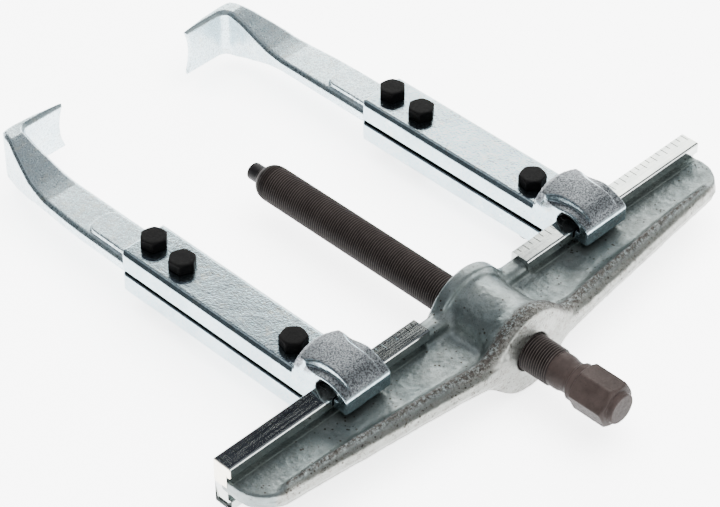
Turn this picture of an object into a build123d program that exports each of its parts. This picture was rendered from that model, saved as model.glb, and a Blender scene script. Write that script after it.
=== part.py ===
from build123d import *
import os

os.makedirs("parts", exist_ok=True)

# Two-armed sliding gear puller lying flat. X runs along the crossbeam, +Y toward the hooks, +Z up.
# Heights are measured from the middle plane, depths from the drive-side face of the rail.

# ---- crossbeam
beam_half = 204.7        # half length of the beam
rail_depth = 13.6        # rail size along Y
rail_top = 17.1          # half height of the rail
lip_low = 9.5            # lower edge of the rail's overhanging lip
groove_depth = 3.0       # undercut below the lip
lip_bevel = 1.2
rail_stop = 44.0         # the machined rail ends this far from the spindle axis
web_half = 5.3           # half thickness of the web
rib_top = 10.4           # half height of the rim along the drive side
rib_inner_end = 23.2     # depth of the rim's inner edge at the beam's end
rib_inner_hub = 30.0
outer_end = 25.1         # depth where the outer edge would meet the beam's end
end_round = 23.0
rib_start = 184.0
hub_front = 44.3         # front face of the hub
front_flat = 36.0        # half width of the straight part of the front edge
neck_half = 13.6         # half height of the rounded neck beside the hub
hub_back = 15.0          # back face of the hub
hub_flange_r = 30.4
hub_body_r = 25.9
hub_collar_r = 31.2
collar_back = 30.0       # the front collar starts this far from the rail's face

# ---- spindle
thread_r = 12.3
bore_gap = 0.06
thread_far = 178.8
shoulder_far = 186.4
shoulder_r = 7.4
tip_r = 6.0
tip_far = 197.4
shank_r = 3.5            # the tip turns on this shank inside the spindle
shank_depth = 9.0
shank_gap = 0.05
thread_near = 63.3
neck_r = 11.5
neck_near = 67.5
waist_r = 10.5
waist_near = 72.7
ring_r = 12.5
ring_near = 78.0
hex_start = 83.6
hex_near = 109.6
hex_flats = 26.4
hex_turn = 7.5
boss_r = 10.2
boss_near = 113.4

# ---- carriers, an upper and a lower half on each side
arm_left = -105.1
arm_right = 103.3
half_w = 18.5
plate_top = 16.2
slit = 1.45              # half of the gap between the two halves
plate_end = 183.7
plate_corner = 3.0
head_back = 32.1
head_top = 30.2
throat_top = 17.4
throat_far = 14.0
nose_front = 10.8
nose_back = 0.4
nose_low = 9.8
arc_center_y = 4.6
arc_center_z = 13.8
mouth_bevel = 6.5

# ---- legs
bar_half = 5.1
leg_half_w = 15.7
shank_half_w = 11.4
pad_half = 7.8
leg_root = 127.0
pad_far = 225.0
pad_round = 8.0
lowered_to = 240.0        # the lowering beside the pad reaches this depth
flare_start = 262.0
flare_mid = 284.0
flare_mid_z = 9.2
crease = 312.0
hook_half = 18.3
grip = 317.0             # depth of the gripping face
tip_reach = 51.0
tip_thick = 3.5
hook_back = 324.6
tip_hollow = 4.6
inner_corner = 14.9
fit_gap = 0.05

# ---- bolts and nuts, M10
bolt_depths = (174.0, 146.5, 49.4)
bolt_shifts = (0.6, -1.1, -1.7)   # off the arm's middle line
bolt_r = 5.0
hole_r = 5.25
hex_af = 16.0
bolt_head = 7.0
bolt_end = 27.6
bolt_turns = (45, 37, 15)
nut_t = 8.4

# ---- where the middle plane and the rail's face lie
mid_z = hub_collar_r
rail_y = (boss_near - hook_back) / 2


def flat(z, x=0.0, y=0.0):
    return Plane(origin=(x, rail_y + y, mid_z + z), x_dir=(1, 0, 0), z_dir=(0, 0, 1))


def across(x):
    return Plane(origin=(x, rail_y, mid_z), x_dir=(0, 1, 0), z_dir=(1, 0, 0))


def along(y, x=0.0):
    return Plane(origin=(x, rail_y + y, mid_z), x_dir=(1, 0, 0), z_dir=(0, -1, 0))


outer_slope = (hub_front - outer_end) / (beam_half - front_flat)


def outer_y(x):
    return -(outer_end + outer_slope * (beam_half - x))


with BuildPart() as crossbeam:
    # rim along the drive side
    with BuildSketch(flat(-rib_top)):
        with BuildLine():
            Polyline(
                (-rib_start, outer_y(rib_start)),
                (-front_flat, -hub_front),
                (front_flat, -hub_front),
                (rib_start, outer_y(rib_start)),
                (rib_start, -rib_inner_end),
                (140.0, -rib_inner_end),
                (front_flat, -rib_inner_hub),
                (-front_flat, -rib_inner_hub),
                (-140.0, -rib_inner_end),
                (-rib_start, -rib_inner_end),
                close=True,
            )
        make_face()
    extrude(amount=2 * rib_top)
    rim_edges = crossbeam.edges().group_by(Axis.Z)
    fillet(rim_edges[0] + rim_edges[-1], 1.6)
    # web and the rounded beam ends
    with BuildSketch(flat(-web_half)) as web_sketch:
        with BuildLine():
            Polyline(
                (-beam_half + 0.3, groove_depth),
                (-beam_half + 0.3, -outer_end),
                (-front_flat, -hub_front + 0.4),
                (front_flat, -hub_front + 0.4),
                (beam_half - 0.3, -outer_end),
                (beam_half - 0.3, groove_depth),
                close=True,
            )
        make_face()
        end_corners = web_sketch.vertices().filter_by_position(Axis.Y, -outer_end - 0.1, -outer_end + 0.1)
        fillet(end_corners, end_round)
    extrude(amount=2 * web_half)
    # the rail with its overhanging lips above and below
    for direction in (-1, 1):
        with BuildSketch(across(direction * rail_stop)):
            with BuildLine():
                Polyline(
                    (rail_depth, rail_top),
                    (lip_bevel, rail_top),
                    (0, rail_top - lip_bevel),
                    (0, lip_low),
                    (groove_depth, lip_low),
                    (groove_depth, -lip_low),
                    (0, -lip_low),
                    (0, -rail_top + lip_bevel),
                    (lip_bevel, -rail_top),
                    (rail_depth, -rail_top),
                    close=True,
                )
            make_face()
        extrude(amount=direction * (beam_half - rail_stop))
    # rounded necks between the rail and the hub
    with BuildSketch(across(-rail_stop)) as neck_sketch:
        with Locations((rail_depth / 2 + 0.3, 0)):
            Rectangle(rail_depth - 0.8, 2 * neck_half)
        fillet(neck_sketch.vertices(), 4.5)
    extrude(amount=2 * rail_stop)
    # front collar with its shoulders running down to the rim
    with BuildSketch(along(-collar_back)) as collar_sketch:
        Circle(hub_collar_r)
        Rectangle(2 * 62.0, 2 * (rib_top - 0.6))
        inner = collar_sketch.vertices().filter_by_position(Axis.X, -hub_collar_r, hub_collar_r)
        fillet(inner, 12.0)
    extrude(amount=hub_front - collar_back)
    # hub body with the flange at the back
    with BuildSketch(across(0)) as hub_sketch:
        with BuildLine():
            Polyline(
                (-hub_front, 0),
                (-hub_front, hub_collar_r - 3.0),
                (-collar_back, hub_body_r),
                (4.5, hub_body_r),
            )
            RadiusArc((4.5, hub_body_r), (7.5, hub_flange_r - 1.6), 4.5)
            Polyline(
                (7.5, hub_flange_r - 1.6),
                (9.0, hub_flange_r),
                (hub_back - 1.2, hub_flange_r),
                (hub_back, hub_flange_r - 1.2),
                (hub_back, 0),
                (-hub_front, 0),
            )
        make_face()
    revolve(axis=Axis((0, rail_y, mid_z), (0, 1, 0)))
    # spindle bore with a small countersink at each mouth
    with BuildSketch(across(0)):
        bore_r = thread_r + bore_gap
        with BuildLine():
            Polyline(
                (-hub_front, 0),
                (-hub_front, bore_r + 1.4),
                (-hub_front + 1.4, bore_r),
                (hub_back - 1.4, bore_r),
                (hub_back, bore_r + 1.4),
                (hub_back, 0),
                close=True,
            )
        make_face()
    revolve(axis=Axis((0, rail_y, mid_z), (0, 1, 0)), mode=Mode.SUBTRACT)
    # trim what stands outside the beam's front edge
    for direction in (-1, 1):
        with BuildSketch(flat(-40)):
            with BuildLine():
                Polyline(
                    (direction * front_flat, -hub_front),
                    (direction * 70, outer_y(70)),
                    (direction * 70, -hub_front - 2),
                    (direction * front_flat, -hub_front - 2),
                    close=True,
                )
            make_face()
        extrude(amount=80, mode=Mode.SUBTRACT)
crossbeam.part.label = "crossbeam"
export_step(crossbeam.part, "parts/crossbeam.step")

with BuildPart() as spindle:
    with BuildSketch(across(0)):
        with BuildLine():
            Polyline(
                (-hex_start - 1.0, 0),
                (-hex_start - 1.0, ring_r - 1.6),
                (-hex_start, ring_r - 1.2),
                (-ring_near - 1.0, ring_r),
                (-ring_near, ring_r),
                (-waist_near - 0.6, waist_r + 0.8),
                (-waist_near, waist_r),
                (-neck_near, neck_r),
                (-thread_near, neck_r),
                (-thread_near + 1.2, thread_r),
                (thread_far, thread_r),
            )
            RadiusArc((thread_far, thread_r), (shoulder_far, shoulder_r), 9.5)
            Polyline(
                (shoulder_far, shoulder_r),
                (shoulder_far, 0),
                (-hex_start - 1.0, 0),
            )
        make_face()
    revolve(axis=Axis((0, rail_y, mid_z), (0, 1, 0)))
    with BuildSketch(along(-hex_start)):
        RegularPolygon(hex_flats / 2, 6, major_radius=False, rotation=hex_turn)
    extrude(amount=hex_near - hex_start)
    # chamfered outer end of the hexagon
    with BuildSketch(across(0)):
        with BuildLine():
            Polyline(
                (-hex_near, hex_flats / 2 - 0.6),
                (-hex_near, 17.5),
                (-hex_near + 4.0, 17.5),
                (-hex_near + 2.2, 16.0),
                close=True,
            )
        make_face()
    revolve(axis=Axis((0, rail_y, mid_z), (0, 1, 0)), mode=Mode.SUBTRACT)
    with BuildSketch(along(-hex_near)):
        Circle(boss_r)
    extrude(amount=boss_near - hex_near)
    fillet(spindle.faces().sort_by(Axis.Y)[0].edges(), 1.2)
    with BuildSketch(along(shoulder_far)):
        Circle(shank_r + shank_gap)
    extrude(amount=shank_depth, mode=Mode.SUBTRACT)
spindle.part.label = "spindle"
export_step(spindle.part, "parts/spindle.step")

with BuildPart() as pressure_tip:
    with BuildSketch(across(0)):
        with BuildLine():
            Polyline(
                (shoulder_far - shank_depth + 0.5, 0),
                (shoulder_far - shank_depth + 0.5, shank_r),
                (shoulder_far + 0.2, shank_r),
                (shoulder_far + 0.2, tip_r + 0.6),
                (shoulder_far + 2.2, tip_r),
                (tip_far - 1.2, tip_r),
            )
            RadiusArc((tip_far - 1.2, tip_r), (tip_far, tip_r - 1.6), 1.6)
            Polyline(
                (tip_far, tip_r - 1.6),
                (tip_far, 0),
                (shoulder_far - shank_depth + 0.5, 0),
            )
        make_face()
    revolve(axis=Axis((0, rail_y, mid_z), (0, 1, 0)))
pressure_tip.part.label = "pressure_tip"
export_step(pressure_tip.part, "parts/pressure_tip.step")

for side, arm_x in (("left", arm_left), ("right", arm_right)):
    for level, up in (("upper", 1), ("lower", -1)):
        with BuildPart() as carrier:
            # plate and head in one side profile
            with BuildSketch(across(arm_x - half_w)) as profile:
                with BuildLine():
                    Polyline(
                        (plate_end, up * slit),
                        (plate_end, up * plate_top),
                        (head_back, up * plate_top),
                        (head_back, up * head_top),
                        (arc_center_y + 2.0, up * head_top),
                    )
                    ThreePointArc(
                        (arc_center_y + 2.0, up * head_top),
                        (-nose_front + 4.1, up * 25.6),
                        (-nose_front, up * (arc_center_z + 1.0)),
                    )
                    Polyline(
                        (-nose_front, up * (arc_center_z + 1.0)),
                        (-nose_front, up * nose_low),
                        (-nose_back, up * nose_low),
                        (-nose_back, up * throat_top),
                        (throat_far, up * throat_top),
                        (throat_far, up * slit),
                        (plate_end, up * slit),
                    )
                make_face()
                rear = profile.vertices().filter_by_position(Axis.X, head_back - 0.1, head_back + 0.1)
                fillet([v for v in rear if abs(v.Y) < plate_top + 0.1], 2.6)
                rear = profile.vertices().filter_by_position(Axis.X, head_back - 0.1, head_back + 0.1)
                fillet([v for v in rear if abs(v.Y) > head_top - 0.1], 1.2)
            extrude(amount=2 * half_w)
            # bevelled mouths of the throat on both sides
            for edge in (-1, 1):
                with BuildSketch(along(throat_far + 0.4, arm_x)):
                    with BuildLine():
                        Polyline(
                            (edge * (half_w - mouth_bevel), up * throat_top),
                            (edge * (half_w + 0.1), up * (throat_top + mouth_bevel)),
                            (edge * (half_w + 0.1), up * throat_top),
                            close=True,
                        )
                    make_face()
                extrude(amount=throat_far + nose_back, mode=Mode.SUBTRACT)
            # pocket for the leg's shank
            with BuildSketch(along(plate_end + 1, arm_x)):
                Rectangle(2 * (shank_half_w + fit_gap), 2 * (pad_half + fit_gap))
            extrude(amount=plate_end + 1 - leg_root + fit_gap, mode=Mode.SUBTRACT)
            with BuildSketch(flat(0, arm_x)):
                with Locations(*zip(bolt_shifts, bolt_depths)):
                    Circle(hole_r)
            extrude(amount=up * 20, mode=Mode.SUBTRACT)
            corners = carrier.edges().filter_by(Axis.Z).group_by(Axis.Y)[-1]
            outer_corners = [e for e in corners if abs(e.center().X - arm_x) > half_w - 1]
            fillet(outer_corners, plate_corner)
        name = "carrier_" + side + "_" + level
        carrier.part.label = name
        export_step(carrier.part, "parts/" + name + ".step")

    inward = 1 if side == "left" else -1
    with BuildPart() as leg:
        # plan outline of the bar, the inward hook and the shank
        with BuildSketch(flat(-hook_half, arm_x)) as plan:
            with BuildLine():
                Polyline(
                    (inward * 0.3, crease),
                    (inward * 4.6, hook_back - 1.2),
                    (inward * 14.0, hook_back),
                    (inward * 30.0, hook_back - 1.0),
                    (inward * (tip_reach + 1), grip + tip_thick),
                    (inward * (tip_reach + 1), grip),
                    (inward * inner_corner, grip),
                    (inward * inner_corner, crease - 10),
                    (inward * leg_half_w, flare_start),
                    (inward * leg_half_w, plate_end + fit_gap),
                    (inward * shank_half_w, plate_end + fit_gap),
                    (inward * shank_half_w, leg_root),
                    (-inward * shank_half_w, leg_root),
                    (-inward * shank_half_w, plate_end + fit_gap),
                    (-inward * leg_half_w, plate_end + fit_gap),
                    (-inward * (leg_half_w - 0.8), 240.0),
                )
                ThreePointArc(
                    (-inward * (leg_half_w - 0.8), 240.0),
                    (-inward * 9.8, 282.5),
                    (inward * 0.3, crease),
                )
            make_face()
            at_grip = plan.vertices().filter_by_position(Axis.Y, grip - 0.1, grip + 0.1)
            fillet([v for v in at_grip if abs(v.X) < tip_reach / 2], 5.5)
        extrude(amount=2 * hook_half)
        # side profile that flares toward the hook
        with BuildSketch(across(arm_x - 60)):
            with BuildLine():
                for up in (1, -1):
                    Line((leg_root, 0), (leg_root, up * pad_half))
                    Line((leg_root, up * pad_half), (lowered_to, up * pad_half))
                    Line((lowered_to, up * pad_half), (lowered_to, up * bar_half))
                    Line((lowered_to, up * bar_half), (flare_start, up * bar_half))
                    ThreePointArc(
                        (flare_start, up * bar_half),
                        (flare_start + 12, up * (bar_half + 1.1)),
                        (flare_mid, up * flare_mid_z),
                    )
                    ThreePointArc(
                        (flare_mid, up * flare_mid_z),
                        (flare_mid + 14, up * 14.4),
                        (crease, up * hook_half),
                    )
                    Line((crease, up * hook_half), (hook_back + 1, up * hook_half))
                    Line((hook_back + 1, up * hook_half), (hook_back + 1, 0))
            make_face()
        extrude(amount=120, mode=Mode.INTERSECT)
        # lower the bar beside and beyond the raised pad
        for up in (1, -1):
            with BuildSketch(flat(up * bar_half, arm_x)):
                with BuildLine():
                    Polyline(
                        (-30, plate_end + fit_gap),
                        (-30, lowered_to),
                        (30, lowered_to),
                        (30, plate_end + fit_gap),
                        close=True,
                    )
                make_face()
                with BuildLine():
                    Polyline(
                        (-shank_half_w, plate_end),
                        (-shank_half_w, pad_far - pad_round),
                    )
                    RadiusArc(
                        (-shank_half_w, pad_far - pad_round),
                        (-shank_half_w + pad_round, pad_far),
                        pad_round,
                    )
                    Line((-shank_half_w + pad_round, pad_far), (shank_half_w - pad_round, pad_far))
                    RadiusArc(
                        (shank_half_w - pad_round, pad_far),
                        (shank_half_w, pad_far - pad_round),
                        pad_round,
                    )
                    Polyline(
                        (shank_half_w, pad_far - pad_round),
                        (shank_half_w, plate_end),
                        (-shank_half_w, plate_end),
                    )
                make_face(mode=Mode.SUBTRACT)
            extrude(amount=up * 10, mode=Mode.SUBTRACT)
        # hollow end of the hook
        hollow_r = (hook_half ** 2 + tip_hollow ** 2) / (2 * tip_hollow)
        with BuildSketch(along(hook_back + 1, arm_x + inward * (tip_reach - tip_hollow + hollow_r))):
            Circle(hollow_r)
        extrude(amount=20, mode=Mode.SUBTRACT)
        with BuildSketch(flat(-20, arm_x)):
            with Locations(*zip(bolt_shifts[:2], bolt_depths[:2])):
                Circle(hole_r)
        extrude(amount=40, mode=Mode.SUBTRACT)
    leg.part.label = "leg_" + side
    export_step(leg.part, "parts/leg_" + side + ".step")

    for number, (shift, depth, turn) in enumerate(zip(bolt_shifts, bolt_depths, bolt_turns), start=1):
        bolt_x = arm_x + shift
        with BuildPart() as bolt:
            with BuildSketch(flat(-bolt_end, bolt_x, depth)):
                Circle(bolt_r)
            extrude(amount=bolt_end + plate_top)
            with BuildSketch(flat(plate_top, bolt_x, depth)):
                RegularPolygon(hex_af / 2, 6, major_radius=False, rotation=turn)
            extrude(amount=bolt_head)
            chamfer(bolt.edges().group_by(Axis.Z)[0], 0.9)
        name = "bolt_" + side + "_" + str(number)
        bolt.part.label = name
        export_step(bolt.part, "parts/" + name + ".step")

        with BuildPart() as nut:
            with BuildSketch(flat(-plate_top - nut_t, bolt_x, depth)):
                RegularPolygon(hex_af / 2, 6, major_radius=False, rotation=turn)
                Circle(bolt_r + fit_gap, mode=Mode.SUBTRACT)
            extrude(amount=nut_t)
        name = "nut_" + side + "_" + str(number)
        nut.part.label = name
        export_step(nut.part, "parts/" + name + ".step")
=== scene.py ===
import math
import bmesh
import bpy
import numpy as np
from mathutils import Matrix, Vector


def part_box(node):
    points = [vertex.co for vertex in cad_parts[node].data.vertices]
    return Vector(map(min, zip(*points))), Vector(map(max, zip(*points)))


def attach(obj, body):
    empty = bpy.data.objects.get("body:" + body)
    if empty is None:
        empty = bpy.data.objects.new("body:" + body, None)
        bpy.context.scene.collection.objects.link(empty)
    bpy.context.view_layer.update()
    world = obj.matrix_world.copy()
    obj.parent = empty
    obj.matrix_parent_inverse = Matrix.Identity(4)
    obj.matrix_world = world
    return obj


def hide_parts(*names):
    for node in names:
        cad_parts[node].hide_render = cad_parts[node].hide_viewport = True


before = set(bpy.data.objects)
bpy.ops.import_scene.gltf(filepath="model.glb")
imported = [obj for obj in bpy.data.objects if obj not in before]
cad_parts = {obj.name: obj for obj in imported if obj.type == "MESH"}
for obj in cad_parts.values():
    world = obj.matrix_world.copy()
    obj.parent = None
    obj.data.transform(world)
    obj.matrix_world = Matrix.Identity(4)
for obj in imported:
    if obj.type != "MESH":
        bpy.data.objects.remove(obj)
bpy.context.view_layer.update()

import openvdb
from mathutils import Matrix, Vector

# Millimetres in the puller's own frame: x along the crossbeam, y from the rail's drive-side face
# toward the hooks, z from the middle plane. ORIGIN carries that frame into the CAD's.
BEAM_LO, BEAM_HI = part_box("crossbeam")
HUB_BACK = 15.0          # hook-side end of the hub
RAIL = BEAM_HI.y * 1000 - HUB_BACK
MID = (BEAM_HI.z + BEAM_LO.z) * 500
ORIGIN = np.array([0.0, RAIL, MID])
DIAGONAL = 0.7071        # of a 45 degree slope


def middle_x(node):
    lo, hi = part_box(node)
    return (lo.x + hi.x) * 500


def node_middle(node):
    lo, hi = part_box(node)
    c = (lo + hi) * 500
    return np.array([c.x, c.y, c.z]) - ORIGIN


ARM_X = {"left": middle_x("carrier_left_upper"), "right": middle_x("carrier_right_upper")}

# Bolt places on an arm at x = 0, from the hook end
BOLTS = []
for number in (1, 2, 3):
    bolt_at = node_middle("bolt_right_%d" % number)
    BOLTS.append((float(bolt_at[0] - ARM_X["right"]), float(bolt_at[1])))


# ------------------------------------------------------------------ solids as distance fields
def fade(v, lo, hi):
    """0 below lo, 1 above hi and smooth between."""
    t = np.clip((v - lo) / (hi - lo), 0, 1)
    return t * t * (3 - 2 * t)


def smooth_min(a, b, k):
    h = np.clip(0.5 + 0.5 * (b - a) / k, 0, 1)
    return b + (a - b) * h - k * h * (1 - h)


def smooth_max(a, b, k):
    return -smooth_min(-a, -b, k)


def round_max(a, b, r):
    """Where two walls meet, a corner of radius r."""
    outside = np.sqrt(np.maximum(a + r, 0) ** 2 + np.maximum(b + r, 0) ** 2) - r
    return np.where((a > -r) & (b > -r), outside, np.maximum(a, b))


def slab(v, lo, hi):
    return np.maximum(lo - v, v - hi)


def polygon(u, v, points):
    """Signed distance to a polygon in the plane of u and v."""
    best = np.full(np.broadcast(u, v).shape, 1e9, np.float32)
    inside = np.zeros(best.shape, bool)
    n = len(points)
    for i in range(n):
        ax, ay = points[i]
        bx, by = points[(i + 1) % n]
        ex, ey = bx - ax, by - ay
        wx, wy = u - ax, v - ay
        t = np.clip((wx * ex + wy * ey) / (ex * ex + ey * ey), 0, 1)
        best = np.minimum(best, (wx - ex * t) ** 2 + (wy - ey * t) ** 2)
        crosses = (ay > v) != (by > v)
        slope = ex / ey if abs(ey) > 1e-9 else 0.0
        inside ^= crosses & (u < ax + slope * (v - ay))
    best = np.sqrt(best)
    return np.where(inside, -best, best)


def arc(p, q, r, steps=8):
    """Points of a curve from p to q bulging to its left for r > 0 and to its right for r < 0."""
    (px, py), (qx, qy) = p, q
    mx, my = (px + qx) / 2, (py + qy) / 2
    dx, dy = qx - px, qy - py
    half = math.hypot(dx, dy) / 2
    rise = math.sqrt(max(r * r - half * half, 0))
    side = 1 if r > 0 else -1
    nx, ny = dy / (2 * half) * side, -dx / (2 * half) * side
    cx, cy = mx + nx * rise, my + ny * rise
    a0 = math.atan2(py - cy, px - cx)
    a1 = math.atan2(qy - cy, qx - cx)
    turn = (a1 - a0 + math.pi) % (2 * math.pi) - math.pi
    out = []
    for i in range(steps + 1):
        a = a0 + turn * i / steps
        out.append((cx + abs(r) * math.cos(a), cy + abs(r) * math.sin(a)))
    return out


class Grid:
    """Sample points step mm apart over a box, with a margin round it."""

    def __init__(self, lo, hi, step):
        self.step = step
        self.lo = np.array(lo, float) - 3 * step
        count = np.ceil((np.array(hi, float) + 3 * step - self.lo) / step).astype(int) + 1
        axes = [(self.lo[i] + step * np.arange(count[i])).astype(np.float32) for i in range(3)]
        self.x = axes[0][:, None, None]
        self.y = axes[1][None, :, None]
        self.z = axes[2][None, None, :]
        self.count = count

    def noise(self, size, seed):
        """Smooth random field between -1 and 1 with bumps about size mm across."""
        rng = np.random.RandomState(seed)
        span = self.count * self.step / size
        cells = np.ceil(span).astype(int) + 3
        field = rng.uniform(-1, 1, cells).astype(np.float32)
        for axis in range(3):
            at = np.arange(self.count[axis]) * self.step / size
            base = np.floor(at).astype(int)
            t = (at - base).astype(np.float32)
            t = t * t * (3 - 2 * t)
            shape = [1, 1, 1]
            shape[axis] = len(t)
            t = t.reshape(shape)
            field = np.take(field, base, axis) * (1 - t) + np.take(field, base + 1, axis) * t
        return field

    def mesh(self, field, name):
        """The surface where field is 0."""
        band = 3 * self.step
        field = np.clip(np.broadcast_to(field, self.count), -band, band).astype(np.float32)
        volume = openvdb.FloatGrid(band)
        volume.copyFromArray(np.ascontiguousarray(field), tolerance=0)
        points, tris, quads = volume.convertToPolygons(isovalue=0.0, adaptivity=0.0)
        points = points * self.step + self.lo
        return build(name, points, tris, quads)


# ------------------------------------------------------------------ meshes and pieces
def build(name, points, tris, quads):
    mesh = bpy.data.meshes.new(name)
    world = (np.asarray(points, float) + ORIGIN) / 1000
    tris = np.asarray(tris, int).reshape(-1, 3)
    quads = np.asarray(quads, int).reshape(-1, 4)
    faces = [tuple(f[::-1]) for f in tris.tolist()] + [tuple(f[::-1]) for f in quads.tolist()]
    mesh.from_pydata(world.tolist(), [], faces)
    mesh.validate()
    mesh.update()
    mesh.shade_smooth()
    return mesh


def coordinates(mesh):
    v = np.zeros(len(mesh.vertices) * 3)
    mesh.vertices.foreach_get("co", v)
    return v.reshape(-1, 3)


def design_points(mesh):
    """The mesh's points in millimetres in the puller's own frame."""
    return (coordinates(mesh) * 1000 - ORIGIN).astype(np.float32)


def volume_of(mesh):
    v = coordinates(mesh)
    mesh.calc_loop_triangles()
    t = np.zeros(len(mesh.loop_triangles) * 3, int)
    mesh.loop_triangles.foreach_get("vertices", t)
    a, b, c = (v[t.reshape(-1, 3)[:, i]] for i in range(3))
    return float(np.einsum("ij,ij->i", a, np.cross(b, c)).sum() / 6)


def copy_at(mesh, name, x, flip_x=False, flip_z=False):
    """A copy moved from x = 0 to x, mirrored there or across the middle plane if asked."""
    copy = mesh.copy()
    copy.name = name
    v = coordinates(copy)
    v[:, 0] = x * 0.001 - v[:, 0] if flip_x else v[:, 0] + x * 0.001
    if flip_z:
        v[:, 2] = 2 * MID * 0.001 - v[:, 2]
    copy.vertices.foreach_set("co", v.ravel())
    if flip_x != flip_z:
        copy.flip_normals()
    copy.update()
    return copy


def paint_attribute(mesh, name, values):
    layer = mesh.attributes.new(name, "FLOAT", "POINT")
    layer.data.foreach_set("value", np.asarray(values, np.float32))


def place(mesh, name, body, material, replaced):
    obj = bpy.data.objects.new(name, mesh)
    bpy.context.scene.collection.objects.link(obj)
    mesh.materials.clear()
    mesh.materials.append(material)
    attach(obj, body)
    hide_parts(replaced)


# ------------------------------------------------------------------ crossbeam forging
HALF = BEAM_HI.x * 1000
FRONT = -44.3            # front face of the hub
FLAT = 36.0              # half width of the straight front edge
OUTER_END = -25.1        # front edge at the beam's end
RIM_END = 186.0          # where the raised rim runs out
WEB = 5.3                # half thickness of the web
RIM = 10.4               # half thickness of the rim
HUB_R = 25.9
COLLAR_R = 31.1
FLANGE_R = 30.4
FLANGE_START = 6.6       # drive-side face of the back flange
BORE_R = 12.5
NECK_END = 45.0          # how far out the necks between hub and rails reach
NECK_Y, NECK_WIDTH, NECK_HEIGHT = 6.9, 6.6, 13.6     # middle, half width and half height


def beam_outline():
    """The forging seen from above."""
    run = [(FLAT, FRONT)]
    run += arc((HALF - 23.4, OUTER_END - 2.5), (HALF - 0.1, -2.2), -23.4, 10)
    run.append((HALF - 0.1, 8.0))
    return run + [(-x, y) for x, y in reversed(run)]


def rim_shape(s, y, z):
    """Signed distance of the rim and the hub's front collar, which share one cross-section, the
    place across it, 0 at its front edge and 1 at its foot, and the height over its side wall."""
    a = np.abs(z)
    r = np.sqrt(s * s + z * z)
    low = 0.9 * fade(-z, 0.5, 6) * fade(s, 30, 60)
    d = smooth_min(r - COLLAR_R, a - RIM, 15.0) + low
    edge = np.where(s < FLAT, FRONT, FRONT + (s - FLAT) * (OUTER_END - FRONT) / (HALF - FLAT))
    foot = np.interp(s, [FLAT, 140, 190], [-29.6, -22.6, -21.6]).astype(np.float32)
    arm = fade(s, 26, 70)
    w = foot - edge
    t = y - edge
    # corners of the cross-section: how far across and how high, which change along the arm
    zero = 0.0 * w
    corners = [
        (zero, -6.5 - 4 * arm),
        ((0.12 + 0.24 * arm) * w, -1.9 - 1.2 * arm),
        ((0.55 + 0.12 * arm) * w, zero),
        (w, -5.4 + zero),
    ]
    out = -t
    for (t1, d1), (t2, d2) in zip(corners, corners[1:]):
        nt, nd = -(d2 - d1), t2 - t1
        size = np.sqrt(nt * nt + nd * nd)
        out = smooth_max(out, ((t - t1) * nt + (d - d1) * nd) / size, 2.2)
    out = smooth_max(out, t - w - 1.2, 1.5)
    return out, t / w, d


def forging():
    g = Grid((-HALF, FRONT, -31.2), (HALF, HUB_BACK, 31.2), step=0.66)
    x, y, z = g.x, g.y, g.z
    s, a = np.abs(x), np.abs(z)
    r = np.sqrt(x * x + z * z)
    fine = g.noise(2.2, 3)
    lumps = g.noise(7.0, 4)
    # web with a drafted edge, thinner where the rail is machined
    plan = polygon(x, y, beam_outline())
    machined = 0.45 * fade(y, -1.2, -0.6)
    web = round_max(plan + 0.10 * a, a - WEB + machined, 1.6)
    rim, across_rim, height = rim_shape(s, y, z)
    rim = smooth_max(rim, (s - RIM_END) * 0.8 + (a - 8.0) * 0.45, 3.0)
    rim = np.maximum(rim, plan + 0.02)
    body = smooth_min(web, rim, 3.2)
    # hub body, back flange and the necks toward the rails
    hub = np.maximum(r - HUB_R, slab(y, FRONT + 4, HUB_BACK - 1))
    flange = round_max(r - FLANGE_R, slab(y, FLANGE_START, HUB_BACK), 1.6)
    hub = smooth_min(hub, flange, 5.0)
    body = smooth_min(body, hub, 6.0)
    neck = round_max(a - NECK_HEIGHT, np.abs(y - NECK_Y) - NECK_WIDTH, 5.0)
    neck = np.maximum(neck, s - NECK_END)
    body = smooth_min(body, neck, 4.5)
    body = np.maximum(body, FRONT - y)
    # rough forged skin, pitted on the rim's crest, smoother toward the machined faces
    skin = fade(-y, -2.0, 2.0)
    body = body + skin * (0.20 * lumps + 0.13 * fine)
    crest = np.clip(1 - np.abs(across_rim - 0.62) / 0.3, 0, 1) * fade(height, -3.5, -0.5)
    pits = np.clip(g.noise(1.6, 8) - 0.25, 0, 1)
    body = body + 0.75 * crest * pits + 0.2 * fade(-y, 22, 26) * pits
    # part line of the dies along the front
    line = np.exp(-(z / 0.75) ** 2) * fade(-y - 0.10 * s, -8, -2)
    body = body - 0.30 * line * fade(s, 34, 44)
    # screw bore, opened at both mouths
    mouth = np.maximum(FRONT + 1.5 - y, y - HUB_BACK + 1.5)
    bore = r - BORE_R - np.clip(mouth, 0, 3) * 0.9
    body = np.maximum(body, -bore)
    body = np.maximum(body, slab(y, FRONT, HUB_BACK))
    return g.mesh(body, "crossbeam_forging")


def wear_forging(mesh):
    """Paints where the forging is black with scale and where the rim's outer face is."""
    p = design_points(mesh)
    s, y, z = np.abs(p[:, 0]), p[:, 1], p[:, 2]
    _, across_rim, height = rim_shape(s, y, z)
    crest = np.clip(1.35 - np.abs(across_rim - 0.52) / 0.44, 0, 1) * fade(height, -4.5, -1.5)
    crest = crest * (1 - fade(s, RIM_END, 200))
    paint_attribute(mesh, "crest", crest)
    paint_attribute(mesh, "outer", fade(-across_rim, -0.5, -0.2))


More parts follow.
